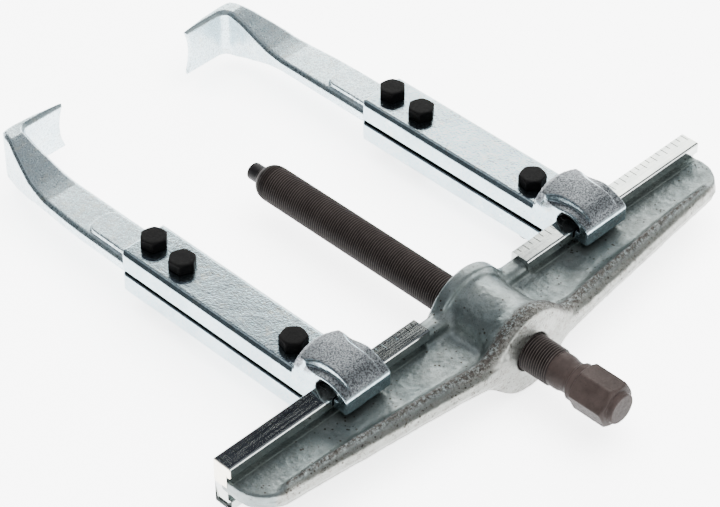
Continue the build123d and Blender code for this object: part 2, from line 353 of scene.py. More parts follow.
# ------------------------------------------------------------------ rail
RAIL_START = 43.0
RAIL_Y = 13.6            # width, from the drive-side face
RAIL_Z = 17.1            # half height
RAIL_CHAMFER = 0.45
STEM_Y, STEM_Z = 3.0, 9.5
TICK_STEP = 5
TICKS = [42.1 + TICK_STEP * k for k in range(1, 33)]
TICK_HALF = 0.32         # half width of a tick
TICK_CUT = 0.45
TICK_SHORT, TICK_LONG = 9.1, 6.9     # where a tick starts; it runs on to the far edge
END_CHAMFER = 0.35


def rail(side, name):
    """Machined rail with a scale of engraved ticks along its far edge."""
    shoulder = (RAIL_Y, RAIL_Z - RAIL_CHAMFER)
    half = [(RAIL_Y, 0.0), (RAIL_Y, 0.3), shoulder]
    half += [(y, RAIL_Z) for y in (13.15, 9.4, TICK_SHORT, 7.2, TICK_LONG, 1.2)]
    half += [(0.35, 16.6), (0.0, 15.9), (0.0, 9.8), (0.3, STEM_Z), (STEM_Y, STEM_Z)]
    half += [(STEM_Y, 0.3), (STEM_Y, 0.0)]
    ring = half + [(y, -z) for y, z in reversed(half[1:-1])]
    stations = [(RAIL_START, None)]
    for k, tick in enumerate(TICKS):
        if tick > HALF - 2:
            break
        start = TICK_LONG if k % 2 else TICK_SHORT
        stations += [(tick - TICK_HALF, None), (tick, start), (tick + TICK_HALF, None)]
    stations += [(HALF - 0.7, None), (HALF, None)]
    last_station = len(stations) - 1
    points = []
    for station, (at, start) in enumerate(stations):
        for y, z in ring:
            px, py, pz = at, y, z
            if start is not None and z == RAIL_Z and y > start:
                pz -= TICK_CUT
            if start is not None and (y, z) == shoulder:
                pz -= TICK_CUT * 0.6
            if station == last_station:
                if y == RAIL_Y:
                    py -= END_CHAMFER
                elif y == 0.0:
                    py += END_CHAMFER
                if abs(z) > 17:
                    pz = math.copysign(16.7, z)
                # the lower half's end slopes back
                if z < 0:
                    px = HALF - 0.5 - 0.10 * abs(z)
                    if z < -14 and y < 3:
                        px -= 1.8
                if z == 0:
                    px = HALF - 0.9
            points.append((side * px, py, pz))
    n = len(ring)
    faces = []
    for k in range(last_station):
        for i in range(n):
            j = (i + 1) % n
            faces.append((k * n + i, k * n + j, (k + 1) * n + j, (k + 1) * n + i))
    # the outer end is bent along the middle plane, so it is closed in parts
    last = last_station * n
    up = [last + i for i, (y, z) in enumerate(ring) if z > 0]
    down = [last + i for i, (y, z) in enumerate(ring) if z < 0]
    far_mid = last
    near_mid = last + half.index((STEM_Y, 0.0))
    faces += [up, down, (far_mid, up[0], up[-1], near_mid), (near_mid, down[0], down[-1], far_mid)]
    faces.append(range(n - 1, -1, -1))
    mesh = bpy.data.meshes.new(name)
    world = (np.array(points) + ORIGIN) / 1000
    mesh.from_pydata(world.tolist(), [], [tuple(f) for f in faces])
    mesh.validate()
    mesh.update()
    if volume_of(mesh) < 0:
        mesh.flip_normals()
    mesh.shade_flat()
    return mesh


# ------------------------------------------------------------------ carriers
ARM_HALF = 18.5          # half width of a carrier
ARM_EDGE = 0.9           # radius of its edges and of the leg's
HEAD_FRONT = -10.8
HEAD_TOP = 30.6
PLATE_TOP = 16.2
PLATE_END = 183.7
SLIT = 1.45              # half the gap between the two halves
MOUTH_TOP = 17.4         # ceiling over the rail
MOUTH_END = 14.0
POCKET_HALF, POCKET_TOP, POCKET_START = 11.5, 7.85, 126.9
BOLT_HOLE = 5.4          # radius
PLATE_BEVEL = 2.4
PLATE_CORNER = 3.2

# Step beside the head's raised panel: where it starts, how far it drops and over what width
STEP_Y = [-12.0, -9.0, -6.5, -4.0, 0.0, 8.0, 17.5, 21.0, 24.0, 26.5, 30.0]
STEP_IN = [11.2, 11.2, 11.3, 11.4, 11.5, 11.0, 11.5, 12.6, 14.2, 16.4, 18.4]
STEP_DROP = [0.0, 0.0, 0.9, 1.8, 2.4, 3.1, 3.7, 3.5, 2.4, 0.9, 0.0]
STEP_RUN = [1.2, 1.2, 1.2, 1.3, 1.4, 1.7, 2.6, 2.9, 3.0, 3.0, 3.0]


def carrier_outline():
    """(y, z) round the upper half seen from the side."""
    run = [(PLATE_END, SLIT), (PLATE_END, PLATE_TOP), (34.5, PLATE_TOP)]
    run += arc((34.5, PLATE_TOP), (32.2, 18.6), -2.4, 4)[1:]
    run += [(33.6, 25.0), (33.4, 28.2)]
    run += arc((33.4, 28.2), (30.6, HEAD_TOP), 2.8, 4)[1:]
    run += [(18.0, HEAD_TOP), (8.0, 30.4), (3.4, 29.9), (-0.8, 28.8), (-4.2, 27.0), (-6.6, 24.9)]
    run += [(-8.6, 22.6), (-10.2, 20.5), (-10.75, 19.3), (HEAD_FRONT, 9.8), (-0.4, 9.8)]
    run += [(-0.4, MOUTH_TOP), (MOUTH_END, MOUTH_TOP), (MOUTH_END, SLIT)]
    return run


def carrier_mesh():
    """Upper half on an arm at x = 0."""
    g = Grid((-ARM_HALF, HEAD_FRONT, 1.4), (ARM_HALF, PLATE_END, 31.2), step=0.62)
    x, y, z = g.x, g.y, g.z
    s = np.abs(x)
    profile = polygon(y, z, carrier_outline())
    # crown of the head and the step beside its raised panel, shallower on the +x side
    high = fade(z, 17.0, 21.0)
    rear = fade(y, 4.0, 27.0)
    crown = rear * (2.8 * (s / 17.0) ** 2 - 0.7) * fade(z, 22, 27)
    inner = np.interp(y, STEP_Y, STEP_IN).astype(np.float32)
    drop = np.interp(y, STEP_Y, STEP_DROP).astype(np.float32)
    run = np.interp(y, STEP_Y, STEP_RUN).astype(np.float32)
    far = np.where(x > 0, fade(y, 0.0, 8.0), 0.0).astype(np.float32)
    drop, run = drop * (1 - 0.5 * far), run * (1 + 0.6 * far)
    profile = profile + crown + drop * fade((s - inner) / run, 0.0, 1.0) * fade(z, 19.5, 23.0)
    # the head's sides lean in, and the plate's upper edges are bevelled
    lean = high * fade(y, 10, 31) * 2.4 * fade(z, 18, 28)
    side = s - ARM_HALF + lean
    body = round_max(profile, side, ARM_EDGE)
    bevel = (s - ARM_HALF + z - PLATE_TOP + PLATE_BEVEL) * DIAGONAL
    body = smooth_max(body, np.where(y > 34.0, bevel, -5.0).astype(np.float32), 0.3)
    # bevelled mouths where the head meets the rail
    ceiling = np.interp(y, [-8, -0.4, 4, 10, 14], [19.6, 23.8, 25.6, 25.6, 19.5]).astype(np.float32)
    mouth = 0.65 * ((z - MOUTH_TOP) - (s - 12.0) * (ceiling - MOUTH_TOP) / 6.5)
    mouth = np.maximum(slab(y, -4.5, MOUTH_END), mouth)
    mouth = np.maximum(mouth, -0.8 - y - 0.75 * (s - 12.0))
    body = np.maximum(body, -np.maximum(mouth, 16.4 - z))
    # rounded corners, pocket for the leg, bolt holes
    body = round_max(body, y - PLATE_END, 0.4)
    body = np.maximum(body, round_max(s - ARM_HALF, y - PLATE_END, PLATE_CORNER))
    pocket = np.maximum(np.maximum(s - POCKET_HALF, z - POCKET_TOP), POCKET_START - y)
    body = smooth_max(body, -pocket, 0.8)
    for shift, depth in BOLTS:
        body = np.maximum(body, BOLT_HOLE - np.sqrt((x - shift) ** 2 + (y - depth) ** 2))
    skin = 0.012 * g.noise(3.2, 11) + 0.022 * g.noise(11.0, 12) + 0.010 * g.noise(1.5, 13)
    body = body + skin
    body = np.maximum(body, SLIT - z)
    mesh = g.mesh(body, "carrier_half")
    paint_carrier(mesh)
    return mesh


def paint_carrier(mesh):
    """Paints the head's dark forged skin, darkened further as painted shade for the dark room its
    top and front reflect, and painted shade on the walls inside, which are darker still.
    """
    p = design_points(mesh)
    s, y, z = np.abs(p[:, 0]), p[:, 1], p[:, 2]
    pocket_wall = (s < 12.2) & (z < 8.6) & (y > 126.2)
    throat_wall = (y < 14.6) & (z < 17.9) & (y > -1.0)
    mouth_wall = (y < 14.4) & (y > -4.6) & (s > 11.6) & (s < 18.3) & (z > 17.0)
    mouth_wall &= z < 17.9 + (s - 12.0) * 1.3
    # the head's top and front take the dark forged skin, which is also painted shade for the dark
    # room they reflect
    brow = fade(z, 16.6, 18.4) * fade(-y, -35.0, -32.5)
    front_lip = fade(y, -10.2, -9.4)
    # the step's wall is left out of the painted shade and stays bright
    past_step = s - np.interp(y, STEP_Y, STEP_IN)
    run = np.interp(y, STEP_Y, STEP_RUN)
    wall = fade(past_step, -0.1, 0.4) * (1 - fade(past_step - run, -0.3, 0.2))
    wall = wall * fade(y, -7.5, -5.5)
    # painted shade on the walls in the pocket, the throat, the slit and the mouths' bevels
    inside = pocket_wall | throat_wall | (z < SLIT + 0.25)
    paint_attribute(mesh, "forged_skin_and_shade", brow * front_lip * (1 - wall) * (1 - fade(s, 17.5, 18.2)))
    paint_attribute(mesh, "inside", 1.0 * inside + 0.85 * mouth_wall)


# ------------------------------------------------------------------ legs
TONGUE_HALF = 11.4       # half width of the part held between the carrier halves
TONGUE_START = 127.0
LEG_SHOULDER = PLATE_END + 0.1
LEG_HALF = 15.7
LEG_END = 324.6
PAD_END, PAD_HALF = 225.0, 7.8   # end and half height of the raised pad
HOOK_HALF = 18.3         # half height of the hook's end
HOOK_END = 51.0
HOLLOW = 4.6             # depth of the dish in the hook's end face
LEG_BEVEL = 2.2


def leg_outline():
    """(x, y) round the leg seen from above."""
    run = [(-LEG_HALF, LEG_SHOULDER), (-15.3, 225), (-14.8, 240), (-12.9, 264), (-9.8, 282.5)]
    run += [(-5.6, 296), (-2.6, 305), (0.2, 312), (2.0, 319.0), (4.6, 323.2), (8.0, 324.4)]
    run += [(14.0, LEG_END), (30.0, 323.6), (51.6, 320.3), (51.6, 317.0), (20.6, 317.0)]
    run += arc((20.6, 317.0), (14.9, 311.2), -5.8, 6)[1:]
    run += [(14.5, 302), (15.2, 285), (15.6, 262), (LEG_HALF, LEG_SHOULDER)]
    run += [(TONGUE_HALF, LEG_SHOULDER), (TONGUE_HALF, TONGUE_START)]
    run += [(-TONGUE_HALF, TONGUE_START), (-TONGUE_HALF, LEG_SHOULDER)]
    return run


def leg_mesh(mirror):
    """Leg on an arm at x = 0 whose hook points to +x; mirror is -1 if it will be turned about."""
    g = Grid((-LEG_HALF, TONGUE_START, -HOOK_HALF), (HOOK_END, LEG_END, HOOK_HALF), step=0.62)
    x, y, z = g.x, g.y, g.z
    a = np.abs(z)
    plan = polygon(x, y, leg_outline())
    # half height along the bar, which flares toward the hook
    at = [127, 262, 268, 275, 284, 292, 298, 304, 309, 312.3, 330]
    top = [5.0, 5.0, 5.6, 6.7, 9.2, 12.0, 13.8, 15.9, 17.5, HOOK_HALF, HOOK_HALF]
    height = np.interp(y, at, top).astype(np.float32)
    slope = np.gradient(height[0, :, 0], g.step).reshape(height.shape)
    bar = (a - height) / np.sqrt(1 + slope * slope)
    pad = round_max(np.abs(x) - TONGUE_HALF, y - PAD_END, 8.0)
    pad = round_max(pad, a - PAD_HALF, 0.8)
    thick = smooth_min(bar, pad, 1.2)
    bevel = (plan + thick + LEG_BEVEL) * DIAGONAL
    body = smooth_max(round_max(plan, thick, ARM_EDGE), bevel, 0.3)
    hollow_r = (HOOK_HALF ** 2 + HOLLOW ** 2) / (2 * HOLLOW)
    hollow = hollow_r - np.sqrt((x - (HOOK_END - HOLLOW + hollow_r)) ** 2 + z * z)
    body = smooth_max(body, hollow, 1.0)
    for shift, depth in BOLTS[:2]:
        body = np.maximum(body, BOLT_HOLE - np.sqrt((x - mirror * shift) ** 2 + (y - depth) ** 2))
    seen = fade(y, 184.5, 187)
    skin = 0.012 * g.noise(3.0, 21) + 0.035 * g.noise(13.0, 22) + 0.010 * g.noise(1.5, 23)
    mesh = g.mesh(body + seen * skin, "leg")
    # painted shade on the tongue held between the carrier halves
    paint_attribute(mesh, "inside", 1.0 - fade(design_points(mesh)[:, 1], 182.0, 183.5))
    return mesh


# ------------------------------------------------------------------ turned parts and bolts
SCREW_R = 12.3
SCREW_THREAD = 1.1       # depth
SCREW_PITCH = 1.75
SCREW_START, SCREW_END = -64.4, 184.2
DRIVE_HALF = 13.2        # half of the drive hexagon across its flats
DRIVE_TURN = 7.5         # degrees
DRIVE_LO, DRIVE_HI = -109.7, -83.8
BOSS_R, BOSS_END = 10.2, -113.35
NECK_START = -60.5       # where the spindle's plain neck comes out of the thread
SHANK_R = 4.98           # bolts
SHANK_THREAD = 0.62
SHANK_PITCH = 1.5
SHANK_END = -27.5
HEX_FLATS = 16.0         # bolt heads and nuts
HEAD_HEIGHT = 7.0
NUT_HEIGHT = 8.4
NUT_BORE = 5.3
HEX_TURNS = (75, 67, 45) # degrees, in the order of BOLTS


def thread_mesh(radius, depth, pitch, start, end, steps, limit=None):
    """Points and faces of a right-hand thread along y from start to end, open at both ends."""
    shape = [(0.0, 0.0), (0.12, 0.0), (0.46, depth), (0.66, depth)]
    turns = int(math.ceil((end - start) / pitch)) + 2
    total = turns * steps
    k = np.arange(total + 1)
    angle = k * 2 * math.pi / steps
    rows = []
    for part, cut in shape:
        y = start - pitch + pitch * (k / steps + part)
        inside = (y > start) & (y < end)
        ease = np.clip(np.minimum(y - start, end - y) / (pitch * 0.8), 0, 1)
        r = radius - np.where(inside, cut + (depth - cut) * (1 - ease), depth)
        yc = np.clip(y, start, end)
        if limit is not None:
            r = np.minimum(r, limit(yc))
        rows.append(np.stack([r * np.sin(angle), yc, r * np.cos(angle)], 1))
    n = len(shape)
    points = np.stack(rows, 1).reshape(-1, 3)
    faces = []
    for i in range(total):
        for j in range(n - 1):
            faces.append((i * n + j, (i + 1) * n + j, (i + 1) * n + j + 1, i * n + j + 1))
        if i + steps < total:
            a, b = i * n + n - 1, (i + 1) * n + n - 1
            faces.append((a, b, (i + 1 + steps) * n, (i + steps) * n))
    return points, faces


def clean_mesh(name, points, faces):
    """Joins doubled points, closes holes and turns the faces outward."""
    mesh = bpy.data.meshes.new(name)
    world = (np.asarray(points) + ORIGIN) / 1000
    mesh.from_pydata(world.tolist(), [], [tuple(f) for f in faces])
    bm = bmesh.new()
    bm.from_mesh(mesh)
    bmesh.ops.remove_doubles(bm, verts=bm.verts, dist=1e-6)
    bmesh.ops.dissolve_degenerate(bm, dist=1e-6, edges=bm.edges)
    holes = [e for e in bm.edges if e.is_boundary]
    if holes:
        bmesh.ops.holes_fill(bm, edges=holes, sides=0)
    bmesh.ops.recalc_face_normals(bm, faces=bm.faces)
    bm.to_mesh(mesh)
    bm.free()
    if volume_of(mesh) < 0:
        mesh.flip_normals()
    mesh.shade_smooth()
    return mesh


def lathe(name, profile, steps=64):
    """Closed solid turned about the screw's axis from (y, radius) points."""
    points, faces = [], []
    for y, r in profile:
        for k in range(steps):
            angle = 2 * math.pi * k / steps
            points.append((r * math.sin(angle), y, r * math.cos(angle)))
    n = len(profile)
    for i in range(n - 1):
        for k in range(steps):
            j = (k + 1) % steps
            faces.append((i * steps + k, i * steps + j, (i + 1) * steps + j, (i + 1) * steps + k))
    faces.append(list(range(steps)))
    faces.append([(n - 1) * steps + k for k in range(steps)])
    return clean_mesh(name, points, faces)


def dome(y):
    """Radius of the screw's rounded far end."""
    t = np.clip((y - 176.6) / 11.6, 0, 1)
    return SCREW_R * np.sqrt(1 - 0.86 * t ** 2.2)


def screw_mesh():
    points, faces = thread_mesh(
        SCREW_R, SCREW_THREAD, SCREW_PITCH, SCREW_START, SCREW_END, steps=56, limit=dome
    )
    mesh = clean_mesh("spindle_thread", points, faces)
    p = design_points(mesh)
    depth_in = SCREW_R - np.hypot(p[:, 0], p[:, 2])
    # painted shade in the thread's grooves, deepest at the root, and an even painted shade over the
    # rounded end
    paint_attribute(mesh, "groove_shade", np.where(p[:, 1] < 176, fade(depth_in, 0.02, 0.55), 0.6))
    return mesh


def spindle_head():
    """Neck, ring and hexagon at the driven end."""
    g = Grid((-15.4, -113.4, -15.4), (15.4, NECK_START, 15.4), step=0.36)
    x, y, z = g.x, g.y, g.z
    r = np.sqrt(x * x + z * z)
    profile = [(NECK_START, 0), (NECK_START, 11.2), (-64.0, 11.3), (-68.0, 11.45), (-70.4, 11.3)]
    profile += [(-73.4, 10.5), (-76.6, 10.35), (-79.0, 11.6), (-79.6, 12.45), (-83.0, 12.5)]
    profile += [(-84.6, 11.4), (-84.6, 0)]
    turned = polygon(y, r, profile)
    turn = math.radians(DRIVE_TURN)
    flats = None
    for k in range(3):
        angle = turn + k * math.pi / 3
        d = np.abs(x * math.sin(angle) + z * math.cos(angle)) - DRIVE_HALF
        flats = d if flats is None else round_max(flats, d, 0.7)
    hexagon = round_max(flats, slab(y, DRIVE_LO, DRIVE_HI), 0.5)
    # corners turned away at both ends
    cone = (r - 12.6 - (y - DRIVE_LO) * 1.25) / 1.6
    hexagon = smooth_max(hexagon, cone, 0.8)
    inner_cone = (r - 13.4 + (y - DRIVE_HI) * 1.6) / 1.9
    hexagon = smooth_max(hexagon, inner_cone, 0.6)
    boss = round_max(r - BOSS_R, slab(y, BOSS_END, -100), 1.3)
    body = smooth_min(smooth_min(hexagon, boss, 1.0), turned, 0.7)
    body = body + 0.05 * g.noise(2.5, 31) + 0.05 * g.noise(7, 32)
    return g.mesh(body, "spindle_head")


def hex_mesh(name, lo, hi, hole=None):
    """Hexagon about z between lo and hi, its corners turned away at the top, and for one with a
    hole at both ends."""
    g = Grid((-11, -11, lo), (11, 11, hi), step=0.40)
    x, y, z = g.x, g.y, g.z
    r = np.sqrt(x * x + y * y)
    body = None
    for k in range(3):
        angle = k * math.pi / 3
        d = np.abs(x * math.cos(angle) + y * math.sin(angle)) - HEX_FLATS / 2
        body = d if body is None else round_max(body, d, 0.5)
    body = round_max(body, slab(z, lo, hi), 0.4)
    body = smooth_max(body, (r - HEX_FLATS / 2 + 0.3 - (hi - z) * 1.6) / 1.9, 0.5)
    if hole:
        body = smooth_max(body, (r - HEX_FLATS / 2 + 0.3 - (z - lo) * 1.6) / 1.9, 0.5)
        body = np.maximum(body, hole - r)
    body = body + 0.04 * g.noise(2.2, 41)
    return g.mesh(body, name)


# ------------------------------------------------------------------ materials
class Shader:
    """Small helper for building node materials, with points in metres in the shared frame."""

    def __init__(self, name):
        self.mat = bpy.data.materials.new(name)
        self.mat.use_nodes = True
        self.tree = self.mat.node_tree
        self.bsdf = self.tree.nodes["Principled BSDF"]
        self.coord = self.tree.nodes.new("ShaderNodeTexCoord").outputs["Object"]

    def link(self, a, b):
        self.tree.links.new(a, b)

    def put(self, socket, value):
        if isinstance(value, bpy.types.NodeSocket):
            self.link(value, socket)
        else:
            socket.default_value = value

    def noise(self, scale, detail=3.0, rough=0.55, stretch=None, distortion=0.0):
        node = self.tree.nodes.new("ShaderNodeTexNoise")
        node.inputs["Scale"].default_value = scale
        node.inputs["Detail"].default_value = detail
        node.inputs["Roughness"].default_value = rough
        node.inputs["Distortion"].default_value = distortion
        where = self.coord
        if stretch:
            mapping = self.tree.nodes.new("ShaderNodeMapping")
            mapping.inputs["Scale"].default_value = stretch
            self.link(self.coord, mapping.inputs["Vector"])
            where = mapping.outputs["Vector"]
        self.link(where, node.inputs["Vector"])
        return node.outputs["Fac"]

    def cells(self, scale):
        node = self.tree.nodes.new("ShaderNodeTexVoronoi")
        node.inputs["Scale"].default_value = scale
        self.link(self.coord, node.inputs["Vector"])
        return node.outputs["Distance"]

    def ramp(self, value, lo, hi, a=0.0, b=1.0):
        """Goes smoothly from a to b while value goes from lo to hi."""
        node = self.tree.nodes.new("ShaderNodeMapRange")
        node.interpolation_type = "SMOOTHSTEP"
        self.put(node.inputs["Value"], value)
        node.inputs["From Min"].default_value = lo
        node.inputs["From Max"].default_value = hi
        node.inputs["To Min"].default_value = a
        node.inputs["To Max"].default_value = b
        return node.outputs["Result"]

    def math(self, kind, a, b=0.0, clamp=False):
        node = self.tree.nodes.new("ShaderNodeMath")
        node.operation = kind
        node.use_clamp = clamp
        self.put(node.inputs[0], a)
        self.put(node.inputs[1], b)
        return node.outputs[0]

    def times(self, a, b):
        return self.math("MULTIPLY", a, b)

    def mix(self, fac, a, b):
        node = self.tree.nodes.new("ShaderNodeMix")
        node.data_type = "RGBA"
        self.put(node.inputs[0], fac)
        self.put(node.inputs[6], a if not isinstance(a, tuple) else (*a, 1.0))
        self.put(node.inputs[7], b if not isinstance(b, tuple) else (*b, 1.0))
        return node.outputs[2]

    def attribute(self, name):
        node = self.tree.nodes.new("ShaderNodeAttribute")
        node.attribute_name = name
        return node.outputs["Fac"]

    def edges(self, lo, hi):
        node = self.tree.nodes.new("ShaderNodeNewGeometry")
        return self.ramp(node.outputs["Pointiness"], lo, hi)

    def axis(self, which):
        node = self.tree.nodes.new("ShaderNodeSeparateXYZ")
        self.link(self.coord, node.inputs[0])
        return node.outputs[which]

    def bump(self, height, strength, distance, under=None):
        node = self.tree.nodes.new("ShaderNodeBump")
        node.inputs["Strength"].default_value = strength
        node.inputs["Distance"].default_value = distance
        self.put(node.inputs["Height"], height)
        if under is not None:
            self.link(under, node.inputs["Normal"])
        return node.outputs["Normal"]

    def finish(self, colour, rough, normal, metallic, specular=0.5):
        """metallic is a number or a socket, and normal is None where there is no bump."""
        self.put(self.bsdf.inputs["Base Color"], colour)
        self.put(self.bsdf.inputs["Roughness"], rough)
        self.put(self.bsdf.inputs["Metallic"], metallic)
        self.bsdf.inputs["Specular IOR Level"].default_value = specular
        if normal is not None:
            self.link(normal, self.bsdf.inputs["Normal"])
        return self.mat


def forging_material():
    s = Shader("forged_zinc")
    crest = s.attribute("crest")
    outer = s.attribute("outer")
    broad = s.noise(38, 4, 0.6)
    grain = s.noise(620, 4, 0.7)
    sand = s.noise(1300, 3, 0.7)
    cloud = s.noise(120, 5, 0.6, distortion=0.6)
    # grey plating in broad clouds
    base = s.mix(s.ramp(broad, 0.35, 0.68), (0.155, 0.188, 0.192), (0.23, 0.26, 0.26))
    base = s.mix(s.ramp(cloud, 0.42, 0.70, 0.0, 0.55), base, (0.13, 0.15, 0.145))
    # the rim's outer face is warmer and stained
    base = s.mix(s.times(outer, 0.75), base, (0.21, 0.21, 0.19))
    stain = s.times(outer, s.ramp(s.noise(330, 5, 0.75), 0.50, 0.66))
    base = s.mix(s.times(stain, 0.75), base, (0.12, 0.105, 0.09))
    base = s.mix(s.ramp(sand, 0.48, 0.72, 0.0, 0.5), base, (0.17, 0.175, 0.17))
    # brown and black specks
    dirt = s.times(s.ramp(s.noise(560, 4, 0.75), 0.555, 0.60), s.ramp(s.noise(90, 3), 0.40, 0.56))
    dirt = s.times(dirt, s.math("ADD", s.times(outer, 0.75), 0.15, clamp=True))
    base = s.mix(dirt, base, (0.045, 0.038, 0.032))
    speck = s.ramp(s.noise(760, 3, 0.7), 0.58, 0.68)
    base = s.mix(s.times(speck, 0.6), base, (0.10, 0.095, 0.09))
    spots = s.times(s.ramp(s.cells(300), 0.27, 0.14), s.ramp(s.noise(100, 3), 0.45, 0.60))
    base = s.mix(spots, base, (0.05, 0.045, 0.04))
    # dark scale on the rim's crest
    worn = s.times(crest, s.ramp(s.noise(420, 5, 0.8), 0.40, 0.53))
    base = s.mix(s.times(worn, 0.90), base, (0.036, 0.028, 0.023))
    black = s.times(crest, s.ramp(s.noise(800, 4, 0.75), 0.49, 0.57))
    base = s.mix(s.times(black, 0.85), base, (0.016, 0.014, 0.012))
    rough = s.ramp(cloud, 0.3, 0.75, 0.28, 0.46)
    rough = s.math("ADD", rough, s.times(crest, 0.22), clamp=True)
    normal = s.bump(grain, 0.35, 0.0006)
    normal = s.bump(s.noise(190, 3), 0.22, 0.0012, normal)
    normal = s.bump(spots, -0.5, 0.0008, normal)
    return s.finish(base, rough, normal, s.math("SUBTRACT", 0.955, s.times(crest, 0.25)))


def zinc_material(name, light, dark, rough_lo, rough_hi):
    s = Shader(name)
    forged_skin_and_shade = s.attribute("forged_skin_and_shade")
    inside = s.attribute("inside")
    broad = s.noise(45, 4, 0.6)
    mottle = s.noise(672, 4, 0.7)
    peel = s.noise(368, 3, 0.6)
    # bright plating with a mottle of blue and yellow
    base = s.mix(s.ramp(broad, 0.35, 0.68), dark, light)
    base = s.mix(s.ramp(mottle, 0.44, 0.66, 0.0, 0.75), base, (0.27, 0.30, 0.32))
    tint = s.noise(160, 3, 0.6)
    base = s.mix(s.ramp(tint, 0.52, 0.70, 0.0, 0.5), base, (0.38, 0.51, 0.56))
    base = s.mix(s.ramp(tint, 0.46, 0.30, 0.0, 0.5), base, (0.48, 0.51, 0.48))
    speck = s.ramp(s.noise(900, 2, 0.6), 0.62, 0.72)
    base = s.mix(s.times(speck, 0.6), base, (0.14, 0.14, 0.145))
    # dark hammered skin where the part is as forged, darkened further as painted shade for the dark
    # room the head's top and front reflect
    hammered = s.ramp(s.noise(1050, 3, 0.65), 0.40, 0.60)
    base = s.mix(forged_skin_and_shade, base, s.mix(hammered, (0.05, 0.054, 0.060), (0.22, 0.24, 0.26)))
    pits = s.ramp(s.noise(700, 4, 0.75), 0.50, 0.62)
    base = s.mix(s.times(s.times(pits, forged_skin_and_shade), 0.55), base, (0.08, 0.08, 0.085))
    # painted shade on the walls inside the slit, throat, mouths and pocket and on the leg's held
    # tongue
    base = s.mix(inside, base, (0.03, 0.032, 0.034))
    # wear along the edges, and darker in the hollow corners
    base = s.mix(s.times(s.edges(0.53, 0.60), 0.5), base, (0.90, 0.92, 0.93))
    base = s.mix(s.times(s.edges(0.47, 0.42), 0.55), base, (0.10, 0.105, 0.11))
    rough = s.ramp(mottle, 0.35, 0.7, rough_lo, rough_hi)
    rough = s.math("ADD", rough, s.times(inside, 0.4), clamp=True)
    rough = s.math("ADD", rough, s.times(forged_skin_and_shade, 0.16), clamp=True)
    normal = s.bump(s.noise(672, 2, 0.6), 0.24, 0.0003)
    normal = s.bump(s.noise(1300, 1, 0.5), 0.20, 0.0002, normal)
    normal = s.bump(s.times(hammered, forged_skin_and_shade), 0.30, 0.0004, normal)
    normal = s.bump(peel, 0.06, 0.0008, normal)
    return s.finish(base, rough, normal, 1.0)


def rail_material():
    s = Shader("machined_zinc")
    streak = s.noise(900, 3, 0.6, stretch=(0.035, 1.0, 1.0))
    broad = s.noise(60, 3, 0.6)
    base = s.mix(s.ramp(broad, 0.35, 0.7), (0.42, 0.445, 0.44), (0.53, 0.55, 0.525))
    base = s.mix(s.ramp(streak, 0.52, 0.75, 0.0, 0.35), base, (0.26, 0.285, 0.29))
    # cream end faces with worn spots
    along = s.math("ABSOLUTE", s.axis(0))
    ends = s.ramp(along, HALF / 1000 - 0.0008, HALF / 1000 - 0.0004)
    base = s.mix(s.times(ends, 0.8), base, (0.86, 0.80, 0.68))
    worn = s.times(ends, s.ramp(s.noise(420, 3, 0.7), 0.55, 0.68))
    base = s.mix(worn, base, (0.42, 0.36, 0.28))
    # engraved ticks, short and long in turn, carry dark paint in their bottoms
    offset = s.math("SUBTRACT", along, TICKS[0] / 1000)
    line = s.ramp(s.math("PINGPONG", offset, TICK_STEP / 2000), 0.00028, 0.00012)
    is_short = s.ramp(s.math("PINGPONG", offset, TICK_STEP / 1000), 0.001, 0.0008)
    start = s.times(is_short, (TICK_SHORT - TICK_LONG) / 1000)
    start = s.math("ADD", start, TICK_LONG / 1000)
    depth = s.math("SUBTRACT", s.axis(1), RAIL / 1000)
    height = s.math("ABSOLUTE", s.math("SUBTRACT", s.axis(2), MID / 1000))
    line = s.times(line, s.math("GREATER_THAN", depth, start))
    line = s.times(line, s.ramp(height, 0.0165, 0.0166))
    base = s.mix(s.times(line, 0.85), base, (0.03, 0.03, 0.03))
    rough = s.ramp(streak, 0.3, 0.75, 0.06, 0.14)
    normal = s.bump(streak, 0.02, 0.0002)
    normal = s.bump(s.noise(150, 3), 0.012, 0.001, normal)
    return s.finish(base, rough, normal, 1.0)


def phosphate_material(name, light, dark, rough_lo, rough_hi, edge):
    """Matt black or brown-black steel, worn to the edge colour, with painted shade in a thread's
    grooves.
    """
    s = Shader(name)
    broad = s.noise(70, 4, 0.6)
    grain = s.noise(700, 4, 0.7)
    base = s.mix(s.ramp(broad, 0.35, 0.7), dark, light)
    base = s.mix(s.ramp(grain, 0.55, 0.75, 0.0, 0.6), base, tuple(0.45 * c for c in dark))
    base = s.mix(s.times(s.edges(0.52, 0.60), 0.75), base, edge)
    # painted shade in a thread's grooves
    base = s.mix(s.attribute("groove_shade"), base, tuple(0.06 * c for c in dark))
    rough = s.ramp(grain, 0.3, 0.7, rough_lo, rough_hi)
    normal = s.bump(grain, 0.25, 0.0004)
    normal = s.bump(s.noise(180, 3), 0.12, 0.001, normal)
    return s.finish(base, rough, normal, 0.0, 0.05)


